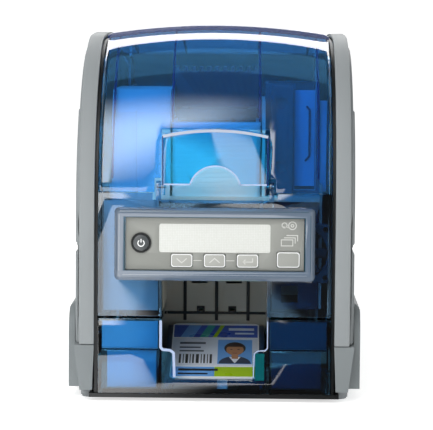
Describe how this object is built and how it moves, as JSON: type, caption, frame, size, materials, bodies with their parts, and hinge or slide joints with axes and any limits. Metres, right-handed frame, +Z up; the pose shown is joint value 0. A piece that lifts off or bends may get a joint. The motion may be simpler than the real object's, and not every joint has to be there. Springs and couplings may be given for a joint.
{
  "type": "id card printer",
  "caption": "Desktop ID card printer with a hinged translucent cover, hopper door, control panel, pull-out card bay and rear duplex module.",
  "frame": {"origin": "middle of the object's footprint, on the table", "axes": "+X to the right seen from the front, +Y from front to back, +Z up"},
  "size_m": [0.175, 0.538, 0.224],
  "materials": {
    "silver_moulding": "fine satin texture, metallic silver grey",
    "black_moulding": "matt",
    "blue_clear": "glossy translucent blue",
    "blue_clear_light": "glossy translucent pale blue",
    "navy_moulding": "glossy dark navy",
    "grey_plate": "satin grey film",
    "screen": "backlit cream screen",
    "key_pale": "satin pale grey",
    "button_dark": "satin dark grey",
    "light_grey_moulding": "satin",
    "dark_grey_moulding": "matt",
    "foot_rubber": "matt grey rubber",
    "roller_rubber": "matt black rubber on a steel shaft",
    "zinc_steel": "zinc-plated sheet",
    "motor_case": "black laminations",
    "pinion_brass": "machined",
    "circuit_board": "green solder mask",
    "head_aluminium": "extruded",
    "blank_card": "white card stock",
    "card_print": null,
    "supply_film": "wound yellow, magenta and cyan panels",
    "used_film": "wound dark film"
  },
  "bodies": {
    "chassis": {"base_tray": "black_moulding", "feet": "foot_rubber", "skirts": "silver_moulding", "side_panel_left": "silver_moulding", "side_panel_right": "silver_moulding", "side_frames": "black_moulding", "front_panel": "blue_clear", "display_bezel": "blue_clear_light", "display_plate": "grey_plate", "lcd_window": "screen", "power_ring": "black_moulding", "control_board": "circuit_board", "exit_bay": "dark_grey_moulding", "hopper_frame": "light_grey_moulding", "hopper_side_block": "navy_moulding", "blank_cards": "blank_card", "engine_plate_left": "zinc_steel", "engine_plate_right": "zinc_steel", "crossbars": "zinc_steel", "entry_guide": "dark_grey_moulding", "stepper_motors": "motor_case", "cartridge_frame": "blue_clear_light", "ribbon": "used_film", "main_board": "circuit_board", "power_supply": "zinc_steel", "fan_housing": "black_moulding", "rear_connectors": "black_moulding", "rear_cover": "navy_moulding", "rear_wall": "dark_grey_moulding", "duplex_case": "silver_moulding", "duplex_frame": "zinc_steel", "pins_and_screws": "zinc_steel", "drive_belt": "black_moulding"},
    "cover": {"top_cover": "blue_clear"},
    "door": {"hopper_door": "blue_clear"},
    "power_key": {"power_button": "button_dark"},
    "down_key": {"key_down": "key_pale"},
    "up_key": {"key_up": "key_pale"},
    "enter_key": {"key_enter": "key_pale"},
    "user_key": {"key_user": "grey_plate"},
    "drawer": {"output_hopper": "blue_clear", "card_tray": "navy_moulding", "printed_card": "card_print"},
    "weight": {"card_weight": "dark_grey_moulding"},
    "picker": {"pick_roller": "roller_rubber"},
    "platen": {"platen_roller": "roller_rubber"},
    "exit_shaft": {"exit_roller": "roller_rubber"},
    "feed_shaft": {"feed_roller": "roller_rubber"},
    "transport_shaft": {"transport_roller": "roller_rubber"},
    "relay_shaft": {"relay_roller": "roller_rubber"},
    "entry_shaft": {"entry_roller": "roller_rubber"},
    "card_motor_shaft": {"card_pinion": "pinion_brass"},
    "head": {"printhead": "head_aluminium"},
    "supply": {"supply_spool": "supply_film"},
    "takeup": {"takeup_spool": "used_film"},
    "ribbon_motor_shaft": {"ribbon_pinion": "pinion_brass"},
    "flip_drum": {"flipper": "dark_grey_moulding"},
    "flip_motor_shaft": {"flipper_pinion": "pinion_brass"},
    "fan": {"fan_rotor": "black_moulding"},
    "lid": {"duplex_cover": "navy_moulding"}
  },
  "joints": [
    {"name": "cover_hinge", "type": "hinge", "parent": "chassis", "child": "cover", "pos_m": [0, 0.065, 0.20109], "axis": [-1, 0, 0], "range_deg": [0, 75]},
    {"name": "door_hinge", "type": "hinge", "parent": "chassis", "child": "door", "pos_m": [0, -0.262, 0.128], "axis": [1, 0, 0], "range_deg": [0, 85]},
    {"name": "power_press", "type": "slide", "parent": "chassis", "child": "power_key", "axis": [0, 1, 0], "range_m": [0, 0.0015], "stiffness_N_per_m": 400},
    {"name": "down_press", "type": "slide", "parent": "chassis", "child": "down_key", "axis": [0, 1, 0], "range_m": [0, 0.0008], "stiffness_N_per_m": 400},
    {"name": "up_press", "type": "slide", "parent": "chassis", "child": "up_key", "axis": [0, 1, 0], "range_m": [0, 0.0008], "stiffness_N_per_m": 400},
    {"name": "enter_press", "type": "slide", "parent": "chassis", "child": "enter_key", "axis": [0, 1, 0], "range_m": [0, 0.0008], "stiffness_N_per_m": 400},
    {"name": "user_press", "type": "slide", "parent": "chassis", "child": "user_key", "axis": [0, 1, 0], "range_m": [0, 0.0008], "stiffness_N_per_m": 400},
    {"name": "drawer_slide", "type": "slide", "parent": "chassis", "child": "drawer", "axis": [0, -1, 0], "range_m": [0, 0.085]},
    {"name": "weight_lift", "type": "slide", "parent": "chassis", "child": "weight", "axis": [0, 0, 1], "range_m": [0, 0.018]},
    {"name": "pick_spin", "type": "hinge", "parent": "chassis", "child": "picker", "pos_m": [0, -0.1664, 0.1121], "axis": [1, 0, 0], "continuous": true},
    {"name": "platen_spin", "type": "hinge", "parent": "chassis", "child": "platen", "pos_m": [0, -0.02, 0.076], "axis": [1, 0, 0], "continuous": true},
    {"name": "exit_spin", "type": "hinge", "parent": "chassis", "child": "exit_shaft", "pos_m": [0, -0.152, 0.076], "axis": [1, 0, 0], "continuous": true},
    {"name": "feed_spin", "type": "hinge", "parent": "chassis", "child": "feed_shaft", "pos_m": [0, 0.037, 0.076], "axis": [1, 0, 0], "continuous": true},
    {"name": "transport_spin", "type": "hinge", "parent": "chassis", "child": "transport_shaft", "pos_m": [0, -0.086, 0.076], "axis": [1, 0, 0], "continuous": true},
    {"name": "relay_spin", "type": "hinge", "parent": "chassis", "child": "relay_shaft", "pos_m": [0, 0.107, 0.076], "axis": [1, 0, 0], "continuous": true},
    {"name": "entry_spin", "type": "hinge", "parent": "chassis", "child": "entry_shaft", "pos_m": [0, -0.1, 0.09518], "axis": [1, 0, 0], "continuous": true},
    {"name": "card_motor_spin", "type": "hinge", "parent": "chassis", "child": "card_motor_shaft", "pos_m": [0, -0.02, 0.0512], "axis": [1, 0, 0], "continuous": true},
    {"name": "head_lift", "type": "hinge", "parent": "chassis", "child": "head", "pos_m": [0, 0.007, 0.118], "axis": [-1, 0, 0], "range_deg": [0, 8]},
    {"name": "takeup_spin", "type": "hinge", "parent": "chassis", "child": "takeup", "pos_m": [0, 0.039, 0.128], "axis": [1, 0, 0], "continuous": true},
    {"name": "supply_spin", "type": "hinge", "parent": "chassis", "child": "supply", "pos_m": [0, -0.073, 0.128], "axis": [1, 0, 0], "continuous": true},
    {"name": "ribbon_motor_spin", "type": "hinge", "parent": "chassis", "child": "ribbon_motor_shaft", "pos_m": [0, 0.039, 0.1528], "axis": [1, 0, 0], "continuous": true},
    {"name": "flip_turn", "type": "hinge", "parent": "chassis", "child": "flip_drum", "pos_m": [0, 0.195, 0.084], "axis": [1, 0, 0], "continuous": true},
    {"name": "flip_motor_spin", "type": "hinge", "parent": "chassis", "child": "flip_motor_shaft", "pos_m": [0, 0.195, 0.1136], "axis": [1, 0, 0], "continuous": true},
    {"name": "fan_spin", "type": "hinge", "parent": "chassis", "child": "fan", "pos_m": [0.0513, -0.247, 0.0875], "axis": [0, 1, 0], "continuous": true},
    {"name": "lid_hinge", "type": "hinge", "parent": "chassis", "child": "lid", "pos_m": [0, 0.266, 0.1533], "axis": [-1, 0, 0], "range_deg": [0, 80]}
  ],
  "couplings": [
    {"joint": "exit_spin", "follows": "platen_spin", "ratio": 1},
    {"joint": "feed_spin", "follows": "platen_spin", "ratio": 1},
    {"joint": "transport_spin", "follows": "platen_spin", "ratio": 1},
    {"joint": "relay_spin", "follows": "platen_spin", "ratio": 1},
    {"joint": "entry_spin", "follows": "platen_spin", "ratio": 1.0714},
    {"joint": "card_motor_spin", "follows": "platen_spin", "ratio": -3.4286},
    {"joint": "supply_spin", "follows": "takeup_spin", "ratio": 0.66667},
    {"joint": "ribbon_motor_spin", "follows": "takeup_spin", "ratio": -3.4286},
    {"joint": "flip_motor_spin", "follows": "flip_turn", "ratio": -4.2857}
  ]
}
